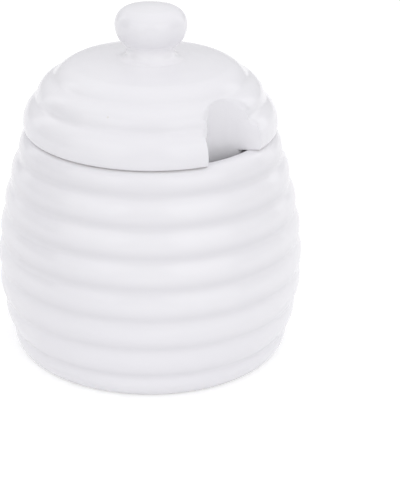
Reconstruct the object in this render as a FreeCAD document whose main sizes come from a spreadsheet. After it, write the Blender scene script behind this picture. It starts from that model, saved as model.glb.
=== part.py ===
import FreeCAD, Part
import os
import Sketcher
from FreeCAD import Placement, Vector

# A beehive honey pot of glazed stoneware, in two pieces: the pot and its lid.
# The origin is the centre of the foot, +Z is up, and the lid's spoon notch faces +X.
# Sizes are in millimetres. The pot's heights start at the foot, the lid's at its seat.

potSizes = {
    "rim_height": 75.6,
    "rim_radius": 39.9,
    "rim_wall": 3.4,
    "rim_rounding": 1.3,
    "belly_radius": 49.75,
    "belly_height": 29.0,
    "belly_fall": 1.8,
    "foot_radius": 43.7,
    "foot_rounding": 1.5,
    "top_ring": 8.2,
    "foot_ring": 7.8,
    "ring_growth": 0.26,
    "ring_bulge": 1.4,
    "groove_rounding": 2.0,
    "pot_wall": 4.2,
    "floor_thickness": 5.0,
    "floor_rounding": 6.0,
    "foot_land": 6.0,
    "foot_recess": 1.2,
}

lidSizes = {
    "lid_overhang": 1.1,
    "lid_edge_rounding": 1.0,
    "lid_groove_rounding": 2.0,
    "flange_gap": 1.4,
    "flange_depth": 5.0,
    "flange_wall": 3.2,
    "hollow_shoulder": 12.4,
    "hollow_rise": 18.3,
    "hollow_rounding": 7.0,
    "notch_radius": 10.45,
    "notch_reach": 9.2,
    "notch_wall": 3.5,
}

# Each groove of the lid: how far it lies in from the lid's edge, how high over the
# seat, and how far the ring below it swells out.
lidGrooves = [
    {"inset": 4.1, "rise": 10.6, "swell": 2.0},
    {"inset": 9.5, "rise": 17.3, "swell": 1.5},
    {"inset": 17.0, "rise": 22.1, "swell": 1.0},
]

knobSizes = {
    "cap_swell": 0.4,
    "collar_radius": 9.4,
    "collar_rise": 22.8,
    "collar_edge": 0.6,
    "neck_inset": 3.95,
    "neck_rise": 26.6,
    "neck_hollow": 4.0,
    "neck_turn": 37.0,
    "knob_radius": 11.35,
    "knob_rise": 34.4,
    "knob_crown": 6.1,
    "knob_shoulder": 5.5,
    "knob_side": 11.3,
    "knob_drop": 4.6,
    "knob_rounding": 1.2,
}

middleRings = 6
cutMargin = 10.0
nearby = 0.001

doc = FreeCAD.newDocument("HoneyPot")


def makeSheet():
    """One cell for each driving size, with the size's name as its alias."""
    sizes = {**potSizes, **lidSizes, **knobSizes}
    for number, groove in enumerate(lidGrooves, 1):
        for word, value in groove.items():
            sizes[f"groove_{word}_{number}"] = value
    sheet = doc.addObject("Spreadsheet::Sheet", "Sizes")
    for row, (name, value) in enumerate(sizes.items(), 1):
        sheet.set(f"A{row}", name)
        sheet.set(f"B{row}", str(value))
        sheet.setAlias(f"B{row}", name)
    doc.recompute()
    return sheet


sheet = makeSheet()


def size(name):
    return f"Sizes.{name}"


def valueOf(expression):
    return float(sheet.evalExpression(expression))


# ---- Outlines --------------------------------------------------------------------
# An outline is a list of corners (radius, height, edge), its numbers expressions over
# the sheet. The edge leads on to the next corner: None is a straight line, and
# ("out", radius) or ("in", radius) an arc that swells away from the axis or towards it.


def chordRadius(first, second, swell):
    """Radius of the arc between two corners that stands this far off their chord."""
    chord = f"(({first[0]} - ({second[0]}))^2 + ({first[1]} - ({second[1]}))^2)"
    return f"({chord} / 4 + {swell}^2) / (2 * {swell})"


def uprightRadius(widest, end):
    """Radius of the arc that stands upright at its widest point and runs to the end."""
    across = f"({widest[0]} - ({end[0]}))"
    along = f"({widest[1]} - ({end[1]}))"
    return f"({across}^2 + {along}^2) / (2 * {across})"


def domeRadius(top, end):
    """Radius of the arc that lies level on the axis and runs down to the end."""
    along = f"({top[1]} - {end[1]})"
    return f"({end[0]}^2 + {along}^2) / (2 * {along})"


def arcMiddle(start, end, radius, side):
    """The point half-way along the short arc between two points."""
    chord = end - start
    outward = Vector(chord.y, -chord.x, 0).normalize()
    if (outward.x < 0) == (side == "out"):
        outward = -outward
    swell = radius - (radius ** 2 - chord.Length ** 2 / 4) ** 0.5
    return (start + end) / 2 + outward * swell


def drawEdge(sketch, start, end, edge):
    """Adds an edge and gives its number and the point numbers of its two ends."""
    if edge is None:
        return sketch.addGeometry(Part.LineSegment(start, end)), 1, 2
    side, radius = edge
    middle = arcMiddle(start, end, valueOf(radius), side)
    if (middle - start).cross(end - middle).z > 0:
        return sketch.addGeometry(Part.Arc(start, middle, end)), 1, 2
    return sketch.addGeometry(Part.Arc(end, middle, start)), 2, 1


def bind(sketch, kind, references, expression):
    """Adds a dimension and ties it to the sheet."""
    number = sketch.addConstraint(Sketcher.Constraint(kind, *references, valueOf(expression)))
    sketch.setExpression(f"Constraints[{number}]", expression)


def placeCorner(sketch, edge, point, radius, height):
    """Fixes one corner by its distances from the axis and from the ground."""
    for kind, axis, expression in (("DistanceX", -2, radius), ("DistanceY", -1, height)):
        if expression == "0":
            sketch.addConstraint(Sketcher.Constraint("PointOnObject", edge, point, axis))
        else:
            bind(sketch, kind, (-1, 1, edge, point), expression)


def originPlane(body, role):
    return next(item for item in body.Origin.OriginFeatures if item.Role == role)


def makeSketch(body, name, role):
    sketch = body.newObject("Sketcher::SketchObject", name)
    sketch.AttachmentSupport = [(originPlane(body, role), "")]
    sketch.MapMode = "FlatFace"
    return sketch


def makeOutline(body, name, corners):
    """A closed outline beside the axis, drawn on the body's upright plane."""
    sketch = makeSketch(body, name, "XZ_Plane")
    points = [Vector(valueOf(radius), valueOf(height), 0) for radius, height, edge in corners]
    edges = []
    for index, (radius, height, edge) in enumerate(corners):
        following = (index + 1) % len(corners)
        edges.append(drawEdge(sketch, points[index], points[following], edge))
        if edge is not None:
            bind(sketch, "Radius", (edges[-1][0],), edge[1])
    for index, (radius, height, edge) in enumerate(corners):
        number, start, end = edges[index]
        previous = edges[index - 1]
        sketch.addConstraint(Sketcher.Constraint("Coincident", previous[0], previous[2], number, start))
        placeCorner(sketch, number, start, radius, height)
    return sketch


def turnOutline(body, kind, name, corners):
    """Turns an outline about the axis, to add it to the body or to cut it away."""
    feature = body.newObject(f"PartDesign::{kind}", name)
    feature.Profile = makeOutline(body, f"{name}Outline", corners)
    feature.ReferenceAxis = (feature.Profile[0], ["V_Axis"])
    feature.Angle = 360
    body.Tip = feature
    doc.recompute()
    return feature


def roundRims(body, name, rims, rounding):
    """Rounds the level circles about the axis at these radii and heights."""
    base = body.Tip
    places = [(valueOf(radius), valueOf(height)) for radius, height in rims]
    names = []
    for index, edge in enumerate(base.Shape.Edges, 1):
        if edge.Degenerated or not isinstance(edge.Curve, Part.Circle):
            continue
        centre = edge.Curve.Center
        misses = [abs(edge.Curve.Radius - radius) + abs(centre.z - height) for radius, height in places]
        if abs(centre.x) < nearby and min(misses) < nearby:
            names.append(f"Edge{index}")
    fillet = body.newObject("PartDesign::Fillet", name)
    fillet.Base = (base, names)
    fillet.setExpression("Radius", rounding)
    body.Tip = fillet
    doc.recompute()
    return fillet


# ---- The pot ---------------------------------------------------------------------
# The rings lie on a beehive curve, which is widest at the belly. The top and the foot
# ring have heights of their own, and the rings between them grow towards the foot.


def hiveRadius(height):
    """Radius of the beehive curve, on which the grooves lie, at this height."""
    above = f"abs(({height}) - {size('belly_height')})"
    belly = size("belly_radius")
    toRim = f"({belly} - {size('rim_radius')}) * ({above} / ({size('rim_height')} - {size('belly_height')}))"
    toFoot = f"({belly} - {size('foot_radius')}) * ({above} / {size('belly_height')})"
    fall = size("belly_fall")
    return f"{belly} - (({height}) > {size('belly_height')} ? {toRim}^{fall} : {toFoot}^{fall})"


def grooveHeight(number):
    """Height of a groove: 0 is the rim, 1 lies under the top ring, and so on down."""
    if number == 0:
        return size("rim_height")
    if number == middleRings + 2:
        return "0"
    ends = f"{size('top_ring')} - {size('foot_ring')}"
    pitch = f"({size('rim_height')} - {ends}) / {middleRings}"
    rings = number - 1
    growth = rings * (rings - middleRings) / 2
    top = f"{size('rim_height')} - {size('top_ring')}"
    return f"{top} - {rings} * {pitch} - {growth} * {size('ring_growth')}"


def makePot():
    body = doc.addObject("PartDesign::Body", "PotBody")
    grooves = [(hiveRadius(grooveHeight(number)), grooveHeight(number)) for number in range(middleRings + 3)]
    corners = [("0", size("rim_height"), None)]
    for upper, lower in zip(grooves, grooves[1:]):
        corners.append((*upper, ("out", chordRadius(upper, lower, size("ring_bulge")))))
    corners.append((*grooves[-1], None))
    corners.append(("0", "0", None))
    turnOutline(body, "Revolution", "RingedWall", corners)
    roundRims(body, "GrooveRounding", grooves[1:-1], size("groove_rounding"))

    mouth = (f"{size('rim_radius')} - {size('rim_wall')}", size("rim_height"))
    belly = (f"{size('belly_radius')} - {size('pot_wall')}", size("belly_height"))
    floor = (f"{size('foot_radius')} - {size('pot_wall')}", size("floor_thickness"))
    turnOutline(body, "Groove", "Hollow", [
        ("0", size("floor_thickness"), None),
        (*floor, ("out", uprightRadius(belly, floor))),
        (*belly, ("out", uprightRadius(belly, mouth))),
        (*mouth, None),
        (mouth[0], f"{mouth[1]} + {cutMargin}", None),
        ("0", f"{mouth[1]} + {cutMargin}", None),
    ])
    roundRims(body, "FloorRounding", [floor], size("floor_rounding"))
    rim = (size("rim_radius"), size("rim_height"))
    roundRims(body, "RimRounding", [mouth, rim], size("rim_rounding"))
    roundRims(body, "FootRounding", [(size("foot_radius"), "0")], size("foot_rounding"))

    recess = makeSketch(body, "RecessCircle", "XY_Plane")
    makeCircle(recess, "0", f"{size('foot_radius')} - {size('foot_land')}")
    pocket = body.newObject("PartDesign::Pocket", "FootRecess")
    pocket.Profile = recess
    pocket.Reversed = True
    pocket.setExpression("Length", size("foot_recess"))
    body.Tip = pocket
    body.Label = "pot"
    body.Placement = Placement()
    return body


def makeCircle(sketch, away, radius):
    """A circle whose centre lies this far along the body's X axis."""
    centre = Vector(valueOf(away), 0, 0)
    number = sketch.addGeometry(Part.Circle(centre, Vector(0, 0, 1), valueOf(radius)))
    bind(sketch, "Radius", (number,), radius)
    if away == "0":
        sketch.addConstraint(Sketcher.Constraint("Coincident", number, 3, -1, 1))
    else:
        bind(sketch, "DistanceX", (-1, 1, number, 3), away)
        sketch.addConstraint(Sketcher.Constraint("PointOnObject", number, 3, -1))


# ---- The lid ---------------------------------------------------------------------
# The lid is a ringed dome with a knob, hollow inside, whose flange hangs in the mouth of
# the pot. A round, upright channel is let into one side for the handle of a spoon. The
# dome's wall goes on round it, so the hollow stands back from the channel.

lidEdge = f"({size('rim_radius')} + {size('lid_overhang')})"
flangeRadius = f"({size('rim_radius')} - {size('rim_wall')} - {size('flange_gap')})"
notchAway = f"{lidEdge} - {size('notch_reach')} + {size('notch_radius')}"


def overSeat(rise):
    return f"({size('rim_height')} + {rise})"


def knobCorners():
    """The outline from the top of the knob down its neck to the edge of the collar."""
    crown, shoulder, side = size("knob_crown"), size("knob_shoulder"), size("knob_side")
    drop, hollow, turn = size("knob_drop"), size("neck_hollow"), f"({size('neck_turn')} * 1 deg)"
    reach = f"({size('knob_radius')} - {shoulder})"
    neckRadius = f"({size('knob_radius')} - {size('neck_inset')})"
    # The crown's arc passes into the shoulder's without a corner.
    crownRadius = f"(({reach}^2 + {crown}^2 - {shoulder}^2) / (2 * ({crown} - {shoulder})))"
    share = f"{crownRadius} / ({crownRadius} - {shoulder})"
    middle = overSeat(size("knob_rise"))
    neck = overSeat(size("neck_rise"))
    collarTop = overSeat(f"{size('collar_rise')} + {size('collar_edge')}")
    return [
        ("0", f"{middle} + {crown}", ("out", crownRadius)),
        (f"{reach} * {share}", f"{middle} + {crown} - {crownRadius} + ({crownRadius} - {crown}) * {share}",
         ("out", shoulder)),
        (size("knob_radius"), middle, ("out", side)),
        (f"{size('knob_radius')} - {side} + sqrt({side}^2 - {drop}^2)", f"{middle} - {drop}", None),
        (f"{neckRadius} + {hollow} * (1 - cos({turn}))", f"{neck} + {hollow} * sin({turn})",
         ("in", hollow)),
        (f"{neckRadius} + {hollow} - sqrt({hollow}^2 - ({neck} - {collarTop})^2)", collarTop, None),
        (size("collar_radius"), overSeat(size("collar_rise"))),
    ]


def makeLidOutside():
    body = doc.addObject("PartDesign::Body", "LidOutside")
    knob = knobCorners()
    grooves = [(lidEdge, overSeat("0"))]
    swells = [size("cap_swell")]
    for number in range(1, len(lidGrooves) + 1):
        grooves.append((f"{lidEdge} - {size(f'groove_inset_{number}')}",
                        overSeat(size(f"groove_rise_{number}"))))
        swells.append(size(f"groove_swell_{number}"))
    grooves.append(knob[-1])
    swells = swells[1:] + swells[:1]
    corners = knob[:-1]
    for upper, lower, swell in zip(grooves[:0:-1], grooves[-2::-1], swells[::-1]):
        corners.append((*upper, ("out", chordRadius(upper, lower, swell))))
    flangeFoot = overSeat(f"-{size('flange_depth')}")
    corners += [
        (*grooves[0], None),
        (flangeRadius, overSeat("0"), None),
        (flangeRadius, flangeFoot, None),
        ("0", flangeFoot, None),
    ]
    turnOutline(body, "Revolution", "Dome", corners)
    roundRims(body, "LidGrooveRounding", grooves[1:-1], size("lid_groove_rounding"))
    roundRims(body, "LidEdgeRounding", [grooves[0]], size("lid_edge_rounding"))
    roundRims(body, "KnobRounding", [knob[3][:2]], size("knob_rounding"))
    cutChannel(body, "Channel", size("notch_radius"))
    return body


def cutChannel(body, name, radius):
    """Cuts the upright channel, or what stands back from it, right through the body."""
    circle = makeSketch(body, f"{name}Circle", "XY_Plane")
    makeCircle(circle, notchAway, radius)
    pocket = body.newObject("PartDesign::Pocket", name)
    pocket.Profile = circle
    pocket.Type = "ThroughAll"
    pocket.Midplane = True
    body.Tip = pocket
    doc.recompute()
    return pocket


def makeLidHollow():
    body = doc.addObject("PartDesign::Body", "LidHollow")
    inside = f"({flangeRadius} - {size('flange_wall')})"
    shoulder = (inside, overSeat(size("hollow_shoulder")))
    top = ("0", overSeat(size("hollow_rise")))
    bottom = overSeat(f"-{size('flange_depth')} - {cutMargin}")
    turnOutline(body, "Revolution", "Inside", [
        (*top, ("out", domeRadius(top, shoulder))),
        (*shoulder, None),
        (inside, bottom, None),
        ("0", bottom, None),
    ])
    roundRims(body, "ShoulderRounding", [shoulder], size("hollow_rounding"))
    cutChannel(body, "Standoff", f"{size('notch_radius')} + {size('notch_wall')}")
    return body


def makeLid():
    lid = doc.addObject("Part::Cut", "Lid")
    lid.Base = makeLidOutside()
    lid.Tool = makeLidHollow()
    lid.Label = "lid"
    lid.Placement = Placement()
    return lid


# ---- Build, check and write ------------------------------------------------------

pieces = [makePot(), makeLid()]
doc.recompute()

for item in doc.Objects:
    if "Invalid" in item.State or "Error" in item.State:
        raise RuntimeError(f"{item.Name} failed to build: {item.State}")
for piece in pieces:
    shape = piece.Shape
    if shape.isNull() or not shape.isValid() or len(shape.Solids) != 1:
        raise RuntimeError(f"{piece.Label} is not one sound solid")

os.makedirs("parts", exist_ok=True)
for piece in pieces:
    piece.Shape.exportStep(f"parts/{piece.Label}.step")
    box = piece.Shape.optimalBoundingBox(False)
    print(f"{piece.Label}: {piece.Shape.Volume / 1000:.1f} cm3, "
          f"{box.XLength:.1f} x {box.YLength:.1f} x {box.ZLength:.1f} mm")
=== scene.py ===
import math
import bpy
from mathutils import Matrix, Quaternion, Vector


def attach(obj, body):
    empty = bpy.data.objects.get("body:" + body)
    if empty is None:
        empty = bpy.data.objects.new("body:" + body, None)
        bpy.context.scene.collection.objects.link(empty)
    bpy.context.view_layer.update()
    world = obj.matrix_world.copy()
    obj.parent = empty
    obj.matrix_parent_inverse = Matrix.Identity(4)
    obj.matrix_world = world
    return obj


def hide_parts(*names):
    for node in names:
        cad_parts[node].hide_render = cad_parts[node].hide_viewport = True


# A white beehive honey pot with its lid, standing on a white studio table.
# The pieces are drawn in millimetres and placed in metres. The spoon notch faces +X.

mm = 0.001
seamGap = 0.004         # millimetres: points of a spin that lie nearer than this become one
roundingSteps = 6       # straight stretches that draw a rounded corner

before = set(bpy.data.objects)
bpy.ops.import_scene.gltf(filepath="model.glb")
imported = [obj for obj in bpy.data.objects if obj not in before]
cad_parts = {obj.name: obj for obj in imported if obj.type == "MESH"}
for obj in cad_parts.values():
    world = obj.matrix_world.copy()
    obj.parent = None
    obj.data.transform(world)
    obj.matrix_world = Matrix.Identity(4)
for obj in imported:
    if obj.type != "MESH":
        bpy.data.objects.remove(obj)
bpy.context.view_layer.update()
print("frame loaded")


def deselectAll():
    for item in bpy.context.selected_objects:
        item.select_set(False)


def takeUp(piece):
    # Makes this piece the only one that the next operators act on.
    deselectAll()
    piece.select_set(True)
    bpy.context.view_layer.objects.active = piece


def closeSurface(piece, gap):
    # Merges the points that lie nearer than this and turns every face outwards.
    takeUp(piece)
    bpy.ops.object.mode_set(mode="EDIT")
    bpy.ops.mesh.select_all(action="SELECT")
    bpy.ops.mesh.remove_doubles(threshold=mm * gap)
    bpy.ops.mesh.select_all(action="SELECT")
    bpy.ops.mesh.normals_make_consistent(inside=False)
    bpy.ops.object.mode_set(mode="OBJECT")


def arcSwell(start, end, radius):
    # How far an arc of this radius stands off the straight line between its ends.
    half = math.dist(start, end) / 2
    return radius - math.sqrt(radius ** 2 - half ** 2)


def bowSwell(drop, reach):
    # The same for an arc that starts level, as a dome does at its top, and drops this far.
    radius = (drop ** 2 + reach ** 2) / (2 * drop)
    return arcSwell((0, 0), (reach, drop), radius)


def chordPoint(start, end, swell, share):
    # A point this share along the edge, which swells to the right of its way.
    chord = end - start
    if not swell:
        return start + chord * share
    middle = (start + end) / 2
    way = chord.normalized()
    aside = Vector((way.y, -way.x))
    half = 2 * math.atan2(2 * swell, chord.length)
    radius = chord.length / (2 * math.sin(half))
    angle = half * (2 * share - 1)
    bulge = radius * (math.cos(angle) - math.cos(half))
    return middle + way * (radius * math.sin(angle)) + aside * bulge


def traceOutline(corners, step):
    # Each corner is (radius, height, swell of the edge after it, rounding).
    places = [Vector(corner[:2]) for corner in corners]
    path = []
    for index in range(len(corners) - 1):
        start, end = places[index], places[index + 1]
        swell, before, after = corners[index][2], corners[index][3], corners[index + 1][3]
        length = (end - start).length
        first, last = before / length, 1 - after / length
        count = max(1, round(length * (last - first) / step))
        shares = [first + (last - first) * n / count for n in range(count + 1)]
        edge = [chordPoint(start, end, swell, share) for share in shares]
        if before:
            turnFrom, turnTo = path[-1], edge[0]
            for n in range(1, roundingSteps):
                t = n / roundingSteps
                path.append(turnFrom * (1 - t) ** 2 + start * 2 * t * (1 - t) + turnTo * t * t)
        path += edge if before or not path else edge[1:]
    return path


def turnPiece(name, path, turns):
    # Draws the outline vertex by vertex and spins it round the axis in these turns.
    deselectAll()
    bearing = -turns[0][0] / 2
    way = Vector((math.cos(bearing), math.sin(bearing), 0))
    points = [way * (p.x * mm) + Vector((0, 0, p.y * mm)) for p in path]
    bpy.ops.mesh.primitive_plane_add(size=mm, location=points[0])
    piece = bpy.context.object
    piece.name = name
    bpy.ops.object.transform_apply(location=True, rotation=False, scale=False)
    bpy.ops.object.mode_set(mode="EDIT")
    bpy.ops.mesh.select_all(action="SELECT")
    bpy.ops.mesh.merge(type="CENTER")
    for before, after in zip(points, points[1:]):
        bpy.ops.mesh.extrude_region_move(TRANSFORM_OT_translate={"value": after - before})
    bpy.ops.mesh.select_all(action="SELECT")
    for angle, steps in turns:
        bpy.ops.mesh.spin(steps=steps, angle=angle, center=(0, 0, 0), axis=(0, 0, 1))
    bpy.ops.object.mode_set(mode="OBJECT")
    closeSurface(piece, seamGap)
    return piece


# The pot, in millimetres. Its outline runs from under the foot up to the rim and down inside.
pot = {
    "rimRadius": 39.9,
    "rimHeight": 75.6,
    "rimWall": 3.4,
    "rimRounding": 1.3,
    "bellyRadius": 49.75,
    "bellyHeight": 29.0,
    "bellyFall": 1.8,           # how quickly the beehive draws in above and below the belly
    "footRadius": 43.7,
    "footRounding": 1.2,
    "grooveHeights": (7.8, 18.35, 28.64, 38.67, 48.43, 57.93, 67.4),
    "grooveRounding": 1.5,
    "ringSwell": 1.4,
    "wall": 4.2,
    "floorHeight": 5.0,
    "floorRounding": 5.0,
    "recessRadius": 37.7,
    "recessHeight": 1.2,
    "recessRounding": 0.4,
    "bareRise": 0.25,           # the foot is bare clay up to here
    "poolShadeDepth": 1.0,           # how much of the darker colour, glaze gathered there and painted shade, its grooves show
    "outlineStep": 0.65,
    "turnSteps": 180,
}


def hiveRadius(height):
    # The radius of the grooves, the foot and the rim at this height.
    above = height - pot["bellyHeight"]
    if above > 0:
        end, reach = pot["rimRadius"], pot["rimHeight"] - pot["bellyHeight"]
    else:
        end, reach = pot["footRadius"], pot["bellyHeight"]
    return pot["bellyRadius"] - (pot["bellyRadius"] - end) * (abs(above) / reach) ** pot["bellyFall"]


def potCorners():
    heights = (0, *pot["grooveHeights"], pot["rimHeight"])
    foot, *grooves, rim = [(hiveRadius(height), height) for height in heights]
    mouth = pot["rimRadius"] - pot["rimWall"]
    belly = pot["bellyRadius"] - pot["wall"]
    floor = pot["footRadius"] - pot["wall"]
    upperSwell = bowSwell(belly - mouth, pot["rimHeight"] - pot["bellyHeight"])
    lowerSwell = bowSwell(belly - floor, pot["bellyHeight"] - pot["floorHeight"])
    return [
        (0, pot["recessHeight"], 0, 0),
        (pot["recessRadius"], pot["recessHeight"], 0, pot["recessRounding"]),
        (pot["recessRadius"], 0, 0, pot["recessRounding"]),
        (*foot, pot["ringSwell"], pot["footRounding"]),
        *[(*groove, pot["ringSwell"], pot["grooveRounding"]) for groove in grooves],
        (*rim, 0, pot["rimRounding"]),
        (mouth, pot["rimHeight"], -upperSwell, pot["rimRounding"]),
        (belly, pot["bellyHeight"], -lowerSwell, 0),
        (floor, pot["floorHeight"], 0, pot["floorRounding"]),
        (0, pot["floorHeight"], 0, 0),
    ]


def makePot():
    path = traceOutline(potCorners(), pot["outlineStep"])
    return turnPiece("ringedPot", path, [(math.tau, pot["turnSteps"])])


# The lid, in millimetres. Its outline runs down the hollow, round the flange and up to the knob.
lid = {
    "seat": 75.6,
    "edgeRadius": 41.0,
    "edgeRounding": 1.0,
    # inset from the edge, height over the seat, swell of the ring below
    "grooves": ((4.1, 10.6, 2.0), (9.5, 17.3, 1.5), (17.0, 22.1, 1.0)),
    "grooveRounding": 1.3,
    "capSwell": 0.4,
    "flangeRadius": 35.1,
    "flangeDepth": 5.0,
    "flangeRounding": 0.5,
    "seatRounding": 0.3,        # in the corner between the flange and the seat
    "hollowRadius": 31.9,
    "hollowShoulder": 12.4,
    "hollowTop": 18.3,
    "hollowRounding": 6.0,
    "bareRise": 0.05,           # what looks down is bare clay up to this far over the seat
    # how much of the grooves' darker colour, gathered glaze and painted shade, the lid shows
    "poolShadeDepth": 0.25,
    "outlineStep": 0.5,
    "turnSteps": 120,
    "notchTurnSteps": 150,
    "notchSector": 21.0,        # degrees to each side, turned finely, that the notch lies within
}

knob = {
    "collarRadius": 9.3,
    "collarRise": 23.4,         # the rises are over the lid's seat
    "collarRounding": 1.5,
    "neckRadius": 7.4,
    "neckRise": 25.6,
    "neckHollow": 3.0,          # radius of the neck's hollow curve
    "neckTurn": 40.0,           # degrees of that curve that run out under the knob
    "neckRounding": 0.8,
    "radius": 11.7,
    "rise": 34.4,
    "drop": 5.6,                # from the widest place down to the underside's edge
    "undersideRounding": 1.2,
    "sideCurve": 9.0,
    "shoulderCurve": 5.5,
    "crown": 6.1,
}

notch = {
    "away": 42.25,              # its centre line, from the axis
    "radius": 10.45,
    "standoff": 13.95,          # radius of the cut in the hollow, which leaves the notch a wall
    "lipRounding": 0.65,
    "mergeGap": 0.01,           # points that the cut brings nearer than this become one
    # A line that parts the hollow from the dome above it: over the seat, level out to
    # this radius, and falling this much for each millimetre beyond.
    "partingRise": 18.6,
    "partingLevel": 27.0,
    "partingFall": 0.64,
    "slack": 0.01,              # a point this far outside the hollow's radius still counts as on it
}


def knobCorners():
    middle = lid["seat"] + knob["rise"]
    neck = lid["seat"] + knob["neckRise"]
    hollow, turn = knob["neckHollow"], math.radians(knob["neckTurn"])
    side, shoulder, crown = knob["sideCurve"], knob["shoulderCurve"], knob["crown"]
    reach = knob["radius"] - shoulder
    # The crown's curve passes into the shoulder's without a corner.
    crownCurve = (reach ** 2 + crown ** 2 - shoulder ** 2) / (2 * (crown - shoulder))
    share = crownCurve / (crownCurve - shoulder)
    crownMiddle = middle + crown - crownCurve
    neckFoot = (knob["collarRadius"], lid["seat"] + knob["collarRise"])
    neckTop = (knob["neckRadius"] + hollow * (1 - math.cos(turn)), neck + hollow * math.sin(turn))
    undersideRadius = knob["radius"] - side + math.sqrt(side ** 2 - knob["drop"] ** 2)
    underside = (undersideRadius, middle - knob["drop"])
    widest = (knob["radius"], middle)
    shoulderTop = (reach * share, crownMiddle + (crownCurve - crown) * share)
    top = (0, middle + crown)
    return [
        (*neckFoot, -arcSwell(neckFoot, neckTop, hollow), knob["collarRounding"]),
        (*neckTop, 0, knob["neckRounding"]),
        (*underside, arcSwell(underside, widest, side), knob["undersideRounding"]),
        (*widest, arcSwell(widest, shoulderTop, shoulder), 0),
        (*shoulderTop, arcSwell(shoulderTop, top, crownCurve), 0),
        (*top, 0, 0),
    ]


def lidCorners():
    seat, hollow, flange = lid["seat"], lid["hollowRadius"], lid["flangeRadius"]
    shoulder, top = seat + lid["hollowShoulder"], seat + lid["hollowTop"]
    flangeFoot = seat - lid["flangeDepth"]
    corners = [
        (0, top, -bowSwell(top - shoulder, hollow), 0),
        (hollow, shoulder, 0, lid["hollowRounding"]),
        (hollow, flangeFoot, 0, lid["flangeRounding"]),
        (flange, flangeFoot, 0, lid["flangeRounding"]),
        (flange, seat, 0, lid["seatRounding"]),
    ]
    radius, height, rounding = lid["edgeRadius"], seat, lid["edgeRounding"]
    for inset, rise, swell in lid["grooves"]:
        corners.append((radius, height, swell, rounding))
        radius, height, rounding = lid["edgeRadius"] - inset, seat + rise, lid["grooveRounding"]
    corners.append((radius, height, lid["capSwell"], rounding))
    return corners + knobCorners()


def channelRadius(bearing, radius):
    # Where a line from the axis first meets an upright circle round the notch's centre.
    inside = radius ** 2 - (notch["away"] * math.sin(bearing)) ** 2
    return notch["away"] * math.cos(bearing) - math.sqrt(inside) if inside > 0 else math.inf


def lippedRadius(bearing, radius):
    # The same for the channel, with its lips rounded into the wall of this radius.
    away, lip = notch["away"], notch["lipRounding"]
    core = radius - lip
    turn = (core ** 2 + away ** 2 - (notch["radius"] + lip) ** 2) / (2 * away * core)
    if turn >= 1:
        return radius
    lipBearing = math.acos(turn)
    if bearing >= lipBearing:
        return radius
    centre = Vector((math.cos(lipBearing), math.sin(lipBearing))) * core
    fromNotch = centre - Vector((away, 0))
    meeting = Vector((away, 0)) + fromNotch * (notch["radius"] / (notch["radius"] + lip))
    if bearing <= math.atan2(meeting.y, meeting.x):
        return channelRadius(bearing, notch["radius"])
    aside = core * math.sin(bearing - lipBearing)
    return core * math.cos(bearing - lipBearing) + math.sqrt(max(lip ** 2 - aside ** 2, 0))


def onHollow(radius, height):
    # Tells the points of the hollow from those of the outside.
    beyond = max(0, radius - notch["partingLevel"])
    parting = lid["seat"] + notch["partingRise"] - notch["partingFall"] * beyond
    return radius < lid["hollowRadius"] + notch["slack"] and height < parting


def cutChannel(piece):
    # Draws the points in the notch's way towards the axis, and leaves the knob and the far side.
    for vertex in piece.data.vertices:
        place = vertex.co / mm
        radius = math.hypot(place.x, place.y)
        bearing = abs(math.atan2(place.y, place.x))
        if radius < knob["radius"] or bearing > math.radians(lid["notchSector"]):
            continue
        if onHollow(radius, place.z):
            drawn = min(radius, channelRadius(bearing, notch["standoff"]))
        else:
            drawn = lippedRadius(bearing, radius)
        vertex.co.x *= drawn / radius
        vertex.co.y *= drawn / radius


def makeLid():
    path = traceOutline(lidCorners(), lid["outlineStep"])
    sector = math.radians(2 * lid["notchSector"])
    turns = [(sector, lid["notchTurnSteps"]), (math.tau - sector, lid["turnSteps"])]
    piece = turnPiece("notchedLid", path, turns)
    cutChannel(piece)
    closeSurface(piece, notch["mergeGap"])
    return piece


potPiece = makePot()
print("pot turned", len(potPiece.data.polygons))
lidPiece = makeLid()
print("lid turned", len(lidPiece.data.polygons))

# The finishes: colours are linear, scales count a pattern's cells to a metre, and a bump
# is its strength and its height in metres.
glazeLook = {
    "body": (0.846, 0.838, 0.862, 1),
    "cloud": (0.822, 0.813, 0.842, 1),
    "poolShadeColour": (0.772, 0.763, 0.791, 1),      # darker in the grooves: glaze run together there, and painted shade under each ring
    "neck": (0.902, 0.894, 0.915, 1),       # painted light: paler in the hollow round the neck, where the knob shades the lid
    "roughness": (0.15, 0.24),
    "ior": 1.5,
    "cloudScale": 28.0,
    "peelScale": 120.0,
    "speckScale": 240.0,
    "cloudBump": (0.25, 0.0004),
    "peelBump": (0.12, 0.0001),
    "poolShadeReach": 2.3,           # millimetres about the line of gathered glaze and painted shade
    "poolShadeRise": 1.7,            # how far that line lies over a groove, in the shade under the ring above
    "neckLightFrom": 20.0,           # the painted light round the neck begins this far over the seat, is full as far out as this and fades over this
    "neckRadius": 9.0,          # is full as far out as this
    "neckLightReach": 6.0,           # and fades over this
    "smoothAngle": 50,          # degrees: an edge sharper than this stays crisp
}

clayLook = {
    "body": (0.74, 0.71, 0.665, 1),
    "cloud": (0.60, 0.565, 0.51, 1),
    "roughness": 0.85,
    "cloudScale": 60.0,
    "grainScale": 1500.0,
    "speckScale": 420.0,
    "grainBump": (0.5, 0.0002),
    "facing": -0.7,             # bare faces look down: their normal's height stays under this
    "margin": 0.2,              # a face may lie this far inside the bare ring, in millimetres
}

ironSpeck = {
    "colour": (0.76, 0.74, 0.72, 1),
    "bareShare": 0.992,         # share of the cells that hold no speck
    "edge": (0.13, 0.05),       # a speck grows full between these distances from its middle
}

firedCloud = {
    "detail": 3.0,
    "roughness": 0.5,
    "contrast": (0.3, 0.7),     # the noise between these is spread over the whole range
}

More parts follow.
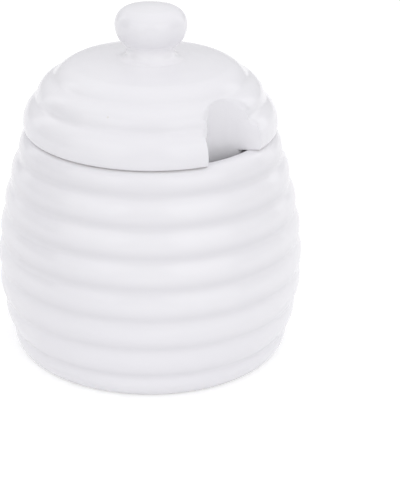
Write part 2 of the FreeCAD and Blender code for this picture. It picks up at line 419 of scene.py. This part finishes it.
unevenness = {
    "depth": 0.16,              # millimetres, all of it inwards
    "size": 0.035,              # of one swell, in metres
    "startRise": 2.0,           # millimetres over what the piece stands on
    "fade": 4.0,                # and it is full this much higher
}


def addNode(tree, kind, place, **settings):
    node = tree.nodes.new(kind)
    node.location = place
    for name, value in settings.items():
        setattr(node, name, value)
    return node


def feed(tree, socket, value):
    # The value is another node's output, or what the socket is set to.
    if isinstance(value, bpy.types.NodeSocket):
        tree.links.new(value, socket)
    else:
        socket.default_value = value


def addMath(tree, place, operation, first, second):
    node = addNode(tree, "ShaderNodeMath", place, operation=operation)
    feed(tree, node.inputs[0], first)
    feed(tree, node.inputs[1], second)
    return node.outputs[0]


def addRange(tree, place, value, source, target, kind="SMOOTHSTEP"):
    # Carries a value from the source's span over to the target's.
    node = addNode(tree, "ShaderNodeMapRange", place, interpolation_type=kind)
    names = ("Value", "From Min", "From Max", "To Min", "To Max")
    for name, given in zip(names, (value, *source, *target)):
        feed(tree, node.inputs[name], given)
    return node.outputs[0]


def mixColours(tree, place, share, first, second):
    # The Mix node's colours are its inputs 6 and 7, and its mixed colour is output 2.
    node = addNode(tree, "ShaderNodeMix", place, data_type="RGBA")
    for number, value in ((0, share), (6, first), (7, second)):
        feed(tree, node.inputs[number], value)
    return node.outputs[2]


def addBump(tree, place, height, bump, before=None):
    node = addNode(tree, "ShaderNodeBump", place)
    for name, value in zip(("Height", "Strength", "Distance"), (height, *bump)):
        feed(tree, node.inputs[name], value)
    if before:
        feed(tree, node.inputs["Normal"], before)
    return node.outputs["Normal"]


def makeGroup(name, result):
    # A pattern that takes a place and a scale and gives one value.
    group = bpy.data.node_groups.new(name, "ShaderNodeTree")
    for label, kind in (("Place", "NodeSocketVector"), ("Scale", "NodeSocketFloat")):
        group.interface.new_socket(name=label, in_out="INPUT", socket_type=kind)
    group.interface.new_socket(name=result, in_out="OUTPUT", socket_type="NodeSocketFloat")
    taken = addNode(group, "NodeGroupInput", (-700, 0))
    given = addNode(group, "NodeGroupOutput", (500, 0))
    return group, taken.outputs["Place"], taken.outputs["Scale"], given.inputs[result]


def makeSpeckGroup():
    # Small iron specks, one here and there: a mask of 1 on a speck and 0 off it.
    group, spot, scale, mask = makeGroup("ironSpecks", "Mask")
    cells = addNode(group, "ShaderNodeTexVoronoi", (-450, 100))
    feed(group, cells.inputs["Vector"], spot)
    feed(group, cells.inputs["Scale"], scale)
    drawn = addNode(group, "ShaderNodeSeparateColor", (-220, -60))
    feed(group, drawn.inputs[0], cells.outputs["Color"])
    chosen = addMath(group, (-20, -60), "GREATER_THAN", drawn.outputs[0], ironSpeck["bareShare"])
    near = addRange(group, (-220, 160), cells.outputs["Distance"], ironSpeck["edge"], (0.0, 1.0))
    feed(group, mask, addMath(group, (220, 60), "MULTIPLY", near, chosen))
    return group


def makeCloudGroup():
    # Slow, soft variation that a dipped and fired surface has: a value from 0 to 1.
    group, spot, scale, cloud = makeGroup("firedClouds", "Cloud")
    noise = addNode(group, "ShaderNodeTexNoise", (-400, 0))
    feed(group, noise.inputs["Vector"], spot)
    feed(group, noise.inputs["Scale"], scale)
    feed(group, noise.inputs["Detail"], firedCloud["detail"])
    feed(group, noise.inputs["Roughness"], firedCloud["roughness"])
    spread = addRange(group, (-100, 0), noise.outputs[0], firedCloud["contrast"], (0.0, 1.0))
    feed(group, cloud, spread)
    return group


speckGroup = makeSpeckGroup()
cloudGroup = makeCloudGroup()


def addGroup(tree, group, place, coordinates, scale):
    node = addNode(tree, "ShaderNodeGroup", place, node_tree=group)
    feed(tree, node.inputs["Place"], coordinates)
    feed(tree, node.inputs["Scale"], scale)
    return node.outputs[0]


def newMaterial(name):
    # Gives the material, its nodes, its shader and the place of a point on its piece.
    material = bpy.data.materials.new(name)
    material.use_nodes = True
    tree = material.node_tree
    spot = addNode(tree, "ShaderNodeTexCoord", (-1500, 0)).outputs["Object"]
    return material, tree, tree.nodes["Principled BSDF"], spot


def makeGlaze():
    material, tree, shader, spot = newMaterial("whiteGlaze")
    marks = addNode(tree, "ShaderNodeAttribute", (-1500, 500), attribute_name="poolShadeNeckLight")
    parts = addNode(tree, "ShaderNodeSeparateColor", (-1300, 500))
    feed(tree, parts.inputs[0], marks.outputs["Color"])
    poolShade, neck = parts.outputs[0], parts.outputs[1]
    slow = addGroup(tree, cloudGroup, (-1200, 250), spot, glazeLook["cloudScale"])
    fine = addGroup(tree, cloudGroup, (-1200, 50), spot, glazeLook["peelScale"])
    specks = addGroup(tree, speckGroup, (-1200, -150), spot, glazeLook["speckScale"])
    body = mixColours(tree, (-900, 300), slow, glazeLook["body"], glazeLook["cloud"])
    # darker in the grooves: glaze gathered there, and painted shade under each ring
    poolShaded = mixColours(tree, (-700, 300), poolShade, body, glazeLook["poolShadeColour"])
    # painted light: paler round the knob's neck, lifting the shade that the knob casts
    neckLit = mixColours(tree, (-600, 300), neck, poolShaded, glazeLook["neck"])
    speckled = mixColours(tree, (-500, 300), specks, neckLit, ironSpeck["colour"])
    feed(tree, shader.inputs["Base Color"], speckled)
    sheen = addRange(tree, (-500, 50), fine, (0.0, 1.0), glazeLook["roughness"], "LINEAR")
    feed(tree, shader.inputs["Roughness"], sheen)
    broad = addBump(tree, (-700, -250), slow, glazeLook["cloudBump"])
    peel = addBump(tree, (-450, -250), fine, glazeLook["peelBump"], broad)
    feed(tree, shader.inputs["Normal"], peel)
    feed(tree, shader.inputs["IOR"], glazeLook["ior"])
    return material


def makeClay():
    material, tree, shader, spot = newMaterial("bareClay")
    slow = addGroup(tree, cloudGroup, (-1200, 250), spot, clayLook["cloudScale"])
    grain = addGroup(tree, cloudGroup, (-1200, 50), spot, clayLook["grainScale"])
    specks = addGroup(tree, speckGroup, (-1200, -150), spot, clayLook["speckScale"])
    body = mixColours(tree, (-900, 300), slow, clayLook["body"], clayLook["cloud"])
    speckled = mixColours(tree, (-600, 300), specks, body, ironSpeck["colour"])
    feed(tree, shader.inputs["Base Color"], speckled)
    feed(tree, shader.inputs["Roughness"], clayLook["roughness"])
    feed(tree, shader.inputs["Normal"], addBump(tree, (-500, -200), grain, clayLook["grainBump"]))
    return material


def markPoolShadeNeckLight(piece, grooves, depth):
    # Writes on each point, as the first value, how much darker it is near a groove: glaze gathered
    # there and painted shade; and, as the second, the painted light round the knob's neck.
    takeUp(piece)
    neckLightFrom = lid["seat"] + glazeLook["neckLightFrom"]
    underKnob = lid["seat"] + knob["rise"] - knob["drop"]
    bpy.ops.geometry.color_attribute_add(name="poolShadeNeckLight", domain="POINT", data_type="FLOAT_COLOR")
    values = []
    for vertex in piece.data.vertices:
        place = vertex.co / mm
        radius = math.hypot(place.x, place.y)
        # the line of gathered glaze and painted shade lies over each groove, under the ring above
        poolShadeLine = place.z - glazeLook["poolShadeRise"]
        nearest = min(math.dist((radius, poolShadeLine), groove) for groove in grooves)
        poolShade = depth * math.exp(-(nearest / glazeLook["poolShadeReach"]) ** 2)
        # painted light round the knob's neck, lifting the shade under the knob
        neck = 0
        if neckLightFrom < place.z < underKnob:
            beyond = max(0, radius - glazeLook["neckRadius"])
            neck = math.exp(-(beyond / glazeLook["neckLightReach"]) ** 2)
        values += [poolShade, neck, 0, 1]
    piece.data.attributes["poolShadeNeckLight"].data.foreach_set("color", values)


def roughen(piece, lowest):
    # A slight unevenness inwards, fading in above this height.
    takeUp(piece)
    group = piece.vertex_groups.new(name="uneven")
    for vertex in piece.data.vertices:
        share = (vertex.co.z / mm - lowest) / unevenness["fade"]
        group.add([vertex.index], min(1, max(0, share)), "REPLACE")
    clouds = bpy.data.textures.new("thrownUnevenness", "CLOUDS")
    clouds.noise_scale = unevenness["size"]
    clouds.noise_depth = 1
    bpy.ops.object.modifier_add(type="DISPLACE")
    displace = piece.modifiers[-1]
    displace.texture = clouds
    displace.texture_coords = "LOCAL"
    displace.vertex_group = group.name
    displace.strength = unevenness["depth"] * mm
    displace.mid_level = 1
    bpy.ops.object.modifier_apply(modifier=displace.name)
    piece.vertex_groups.clear()


def layClay(piece, inner, top):
    # Gives the bare clay to the faces that look down, outside this radius and below this height.
    takeUp(piece)
    piece.data.materials.append(clay)
    for face in piece.data.polygons:
        middle = face.center / mm
        outside = math.hypot(middle.x, middle.y) > inner - clayLook["margin"]
        if face.normal.z < clayLook["facing"] and outside and middle.z < top:
            face.material_index = 1


glaze = makeGlaze()
clay = makeClay()

potGrooves = [(hiveRadius(height), height) for height in pot["grooveHeights"]]
lidGrooves = [(lid["edgeRadius"] - inset, lid["seat"] + rise) for inset, rise, swell in lid["grooves"]]

for piece, grooves, depth, base in ((potPiece, potGrooves, pot["poolShadeDepth"], 0),
                                    (lidPiece, lidGrooves, lid["poolShadeDepth"], lid["seat"])):
    piece.data.materials.append(glaze)
    markPoolShadeNeckLight(piece, grooves, depth)
    roughen(piece, base + unevenness["startRise"])
layClay(potPiece, pot["recessRadius"], pot["bareRise"])
layClay(lidPiece, lid["hollowRadius"], lid["seat"] + lid["bareRise"])

for piece, node in ((potPiece, "pot"), (lidPiece, "lid")):
    takeUp(piece)
    bpy.ops.object.shade_smooth_by_angle(angle=math.radians(glazeLook["smoothAngle"]))
    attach(piece, "root")
    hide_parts(node)
print("glazed")

cameraView = {
    "azimuth": 49.3,            # degrees round the pot, 0 looks along +Y
    "distance": 0.4563,         # from the pot's axis, level
    "height": 0.2395,
    "aimRight": 0.0166,         # where the lens points, beside the axis
    "aimHeight": 0.0346,
    "roll": 0.87,
    "lens": 110.8,
    "sensor": 36,
}

studio = {
    "horizon": 0.605,           # strength of the even light at the horizon
    "zenith": 1.06,             # and straight above
    "worldTint": (0.985, 0.985, 1.0, 1),
    # dark screens: degrees from the lens, and how much of the light they leave
    "screens": ((-76.0, 0.42), (78.0, 0.78)),
    "screenEdge": 0.6,          # cosine of the angle from a screen's middle where it ends
    "floorSize": 8.0,
    "floorShown": (0.62, 0.62, 0.62, 1),
    "floorGlow": 0.48,          # its own light, for the lens and reflections, that makes it white
    "floorNear": (0.95, 0.95, 0.955, 1),    # what lights the pot from below, beside it
    "floorFar": (0.76, 0.76, 0.765, 1),     # and further off
    "floorFade": (0.05, 0.22),              # metres from the axis, from near to far
    "floorRoughness": 0.9,
    "lampAim": 0.05,            # the height that the lamps point at
    # azimuth from the camera and elevation in degrees, the rest in metres and watts
    "lamps": (
        {"name": "leftBox", "azimuth": -48, "elevation": 22, "distance": 1.1,
         "width": 1.0, "height": 0.85, "watts": 2.12},
        {"name": "rightBox", "azimuth": 40, "elevation": 22, "distance": 1.1,
         "width": 0.9, "height": 0.85, "watts": 2.12},
        {"name": "backRight", "azimuth": 122, "elevation": 20, "distance": 1.2,
         "width": 0.35, "height": 0.8, "watts": 0.8},
        {"name": "backLeft", "azimuth": -124, "elevation": 20, "distance": 1.2,
         "width": 0.3, "height": 0.8, "watts": 0.55},
    ),
}


def outwards(azimuth, elevation=0.0):
    # From the axis towards these degrees round the pot, counted as the camera's are.
    turn, rise = math.radians(azimuth), math.radians(elevation)
    level = math.cos(rise)
    return Vector((math.sin(turn) * level, -math.cos(turn) * level, math.sin(rise)))


def placeCamera():
    out = outwards(cameraView["azimuth"])
    right = Vector((-out.y, out.x, 0))
    place = out * cameraView["distance"] + Vector((0, 0, cameraView["height"]))
    aim = right * cameraView["aimRight"] + Vector((0, 0, cameraView["aimHeight"]))
    look = (aim - place).to_track_quat("-Z", "Y")
    roll = Quaternion((0, 0, 1), math.radians(cameraView["roll"]))
    bpy.ops.object.camera_add(location=place, rotation=(look @ roll).to_euler())
    camera = bpy.context.object
    camera.data.lens = cameraView["lens"]
    camera.data.sensor_width = cameraView["sensor"]
    bpy.context.scene.camera = camera


def placeLamp(lamp):
    out = outwards(cameraView["azimuth"] + lamp["azimuth"], lamp["elevation"])
    place = out * lamp["distance"] + Vector((0, 0, studio["lampAim"]))
    turned = (-out).to_track_quat("-Z", "Y").to_euler()
    bpy.ops.object.light_add(type="AREA", location=place, rotation=turned)
    light = bpy.context.object
    light.name = lamp["name"]
    light.data.shape = "RECTANGLE"
    light.data.size = lamp["width"]
    light.data.size_y = lamp["height"]
    light.data.energy = lamp["watts"]


def makeWorld():
    # Even light that grows from the horizon to straight above, dimmed by the dark screens.
    world = bpy.data.worlds.new("studioWorld")
    bpy.context.scene.world = world
    world.use_nodes = True
    tree = world.node_tree
    way = addNode(tree, "ShaderNodeTexCoord", (-700, 0)).outputs["Generated"]
    split = addNode(tree, "ShaderNodeSeparateXYZ", (-500, 0))
    feed(tree, split.inputs[0], way)
    span = (studio["horizon"], studio["zenith"])
    strength = addRange(tree, (-300, 0), split.outputs["Z"], (0.0, 1.0), span)
    for number, (azimuth, left) in enumerate(studio["screens"]):
        down = -200 * number
        across = addNode(tree, "ShaderNodeVectorMath", (-500, down - 200), operation="DOT_PRODUCT")
        feed(tree, across.inputs[0], way)
        feed(tree, across.inputs[1], outwards(cameraView["azimuth"] + azimuth))
        shade = addRange(tree, (-300, down - 200), across.outputs["Value"],
                         (studio["screenEdge"], 1.0), (1.0, left))
        strength = addMath(tree, (-100, down), "MULTIPLY", strength, shade)
    background = tree.nodes["Background"]
    feed(tree, background.inputs["Color"], studio["worldTint"])
    feed(tree, background.inputs["Strength"], strength)


def makeTable():
    # A white top. The lens and reflections see it even and glowing. For the light that it
    # throws up at the pot, it is paler beside the pot than further off.
    bpy.ops.mesh.primitive_plane_add(size=studio["floorSize"], location=(0, 0, 0))
    table = bpy.context.object
    table.name = "tableTop"
    material, tree, shader, spot = newMaterial("tableWhite")
    ray = addNode(tree, "ShaderNodeLightPath", (-900, 200)).outputs
    seen = addMath(tree, (-570, 200), "MAXIMUM", ray["Is Camera Ray"], ray["Is Glossy Ray"])
    seen = addMath(tree, (-400, 200), "MAXIMUM", seen, ray["Is Transmission Ray"])
    away = addNode(tree, "ShaderNodeVectorMath", (-900, 0), operation="LENGTH")
    feed(tree, away.inputs[0], spot)
    far = addRange(tree, (-700, 0), away.outputs["Value"], studio["floorFade"], (0.0, 1.0))
    lit = mixColours(tree, (-450, 0), far, studio["floorNear"], studio["floorFar"])
    colour = mixColours(tree, (-200, 200), seen, lit, studio["floorShown"])
    feed(tree, shader.inputs["Base Color"], colour)
    glow = addMath(tree, (-200, -200), "MULTIPLY", seen, studio["floorGlow"])
    feed(tree, shader.inputs["Emission Strength"], glow)
    feed(tree, shader.inputs["Emission Color"], (1, 1, 1, 1))
    feed(tree, shader.inputs["Roughness"], studio["floorRoughness"])
    table.data.materials.append(material)


placeCamera()
for lamp in studio["lamps"]:
    placeLamp(lamp)
makeWorld()
makeTable()
bpy.context.scene.view_settings.view_transform = "Standard"
print("studio set")
